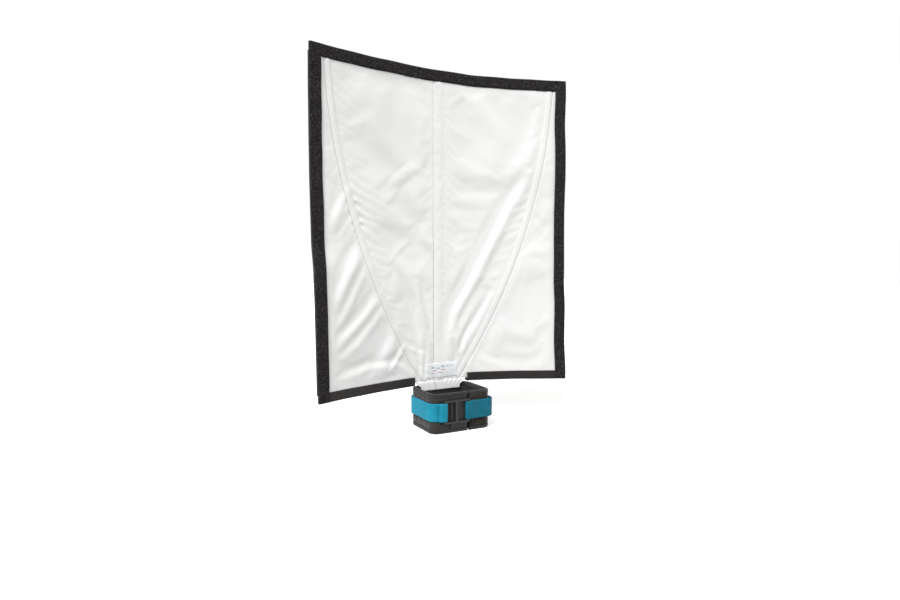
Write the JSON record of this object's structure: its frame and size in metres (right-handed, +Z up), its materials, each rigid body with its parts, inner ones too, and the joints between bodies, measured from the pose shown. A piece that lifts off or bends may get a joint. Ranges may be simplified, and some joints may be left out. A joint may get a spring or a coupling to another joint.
{
  "type": "flash snoot",
  "caption": "Fabric snoot for a camera flash, laid open as a bounce reflector: white panel with bendable rods and hook and loop edges on a padded strap-on collar.",
  "frame": {"origin": "centre of the collar's lower mouth, where the flash head comes in", "axes": "+Z up along the flash head, -Y to the panel's white front, +X to the right as seen from the front"},
  "size_m": [0.3498, 0.0738, 0.456],
  "materials": {
    "white_cloth": "coated plain-weave nylon, soft sheen",
    "black_cloth": "coated plain-weave nylon, matte",
    "loop_tape": "brushed loop tape, fuzzy",
    "hem_tape": "smooth woven hook and loop tape",
    "hook_tape": "hook tape, coarse",
    "rod_tip": "moulded, matte",
    "rod_wire": "drawn annealed wire",
    "label_cloth": "woven satin label",
    "grip_lining": "textured grip sheet",
    "collar_foam": "closed-cell foam",
    "collar_cloth": "smooth knit cloth on foam",
    "edge_binding": "woven binding tape",
    "buckle_plastic": "moulded acetal, satin",
    "strap_webbing": "teal brushed loop webbing"
  },
  "bodies": {
    "collar": {"collar_lining": "grip_lining", "collar_core": "collar_foam", "collar_band": "collar_cloth", "collar_bottom_binding": "edge_binding", "collar_top_binding": "edge_binding", "neck_tab": "black_cloth", "neck_facing": "white_cloth", "rod_feet": "rod_wire", "strap_left": "strap_webbing", "strap_right": "strap_webbing", "strap_anchor_patch": "collar_cloth", "buckle": "buckle_plastic"},
    "tail": {"strap_tail": "strap_webbing", "tail_hook_pad": "hook_tape", "tail_grip_tab": "strap_webbing"},
    "panel_centre": {"centre_front_cloth": "white_cloth", "centre_back_cloth": "black_cloth", "centre_top_tape": "loop_tape", "centre_rod": "rod_wire", "centre_rod_cap": "rod_tip", "care_label": "label_cloth", "left_rod_lower": "rod_wire", "right_rod_lower": "rod_wire"},
    "left_inner": {"left_inner_front_cloth": "white_cloth", "left_inner_back_cloth": "black_cloth", "left_inner_top_tape": "loop_tape", "left_inner_bottom_tape": "hem_tape", "left_rod_middle": "rod_wire"},
    "left_outer": {"left_outer_front_cloth": "white_cloth", "left_outer_back_cloth": "black_cloth", "left_outer_top_tape": "loop_tape", "left_outer_bottom_tape": "hem_tape", "left_rod_upper": "rod_wire", "left_rod_cap": "rod_tip", "left_side_tape": "loop_tape", "closure_hook_tape": "hook_tape"},
    "right_inner": {"right_inner_front_cloth": "white_cloth", "right_inner_back_cloth": "black_cloth", "right_inner_top_tape": "loop_tape", "right_inner_bottom_tape": "hem_tape", "right_rod_middle": "rod_wire"},
    "right_outer": {"right_outer_front_cloth": "white_cloth", "right_outer_back_cloth": "black_cloth", "right_outer_top_tape": "loop_tape", "right_outer_bottom_tape": "hem_tape", "right_rod_upper": "rod_wire", "right_rod_cap": "rod_tip", "right_side_tape": "loop_tape"}
  },
  "joints": [
    {"name": "panel_tilt", "type": "hinge", "parent": "collar", "child": "panel_centre", "pos_m": [0, 0.03, 0.054], "axis": [-1, 0, 0], "range_deg": [-75, 60]},
    {"name": "left_inner_fold", "type": "hinge", "parent": "panel_centre", "child": "left_inner", "pos_m": [-0.0356, 0.03, 0.253], "axis": [0, 0, 1], "range_deg": [-25, 57.5]},
    {"name": "left_outer_fold", "type": "hinge", "parent": "left_inner", "child": "left_outer", "pos_m": [-0.10497, 0.01398, 0.253], "axis": [0, 0, 1], "range_deg": [-20, 58]},
    {"name": "right_inner_fold", "type": "hinge", "parent": "panel_centre", "child": "right_inner", "pos_m": [0.0356, 0.03, 0.253], "axis": [0, 0, -1], "range_deg": [-25, 57.5]},
    {"name": "right_outer_fold", "type": "hinge", "parent": "right_inner", "child": "right_outer", "pos_m": [0.10497, 0.01398, 0.253], "axis": [0, 0, -1], "range_deg": [-20, 58]},
    {"name": "tail_peel", "type": "hinge", "parent": "collar", "child": "tail", "pos_m": [0.0086, -0.037, 0.0267], "axis": [0, 0, -1], "range_deg": [0, 100]}
  ]
}
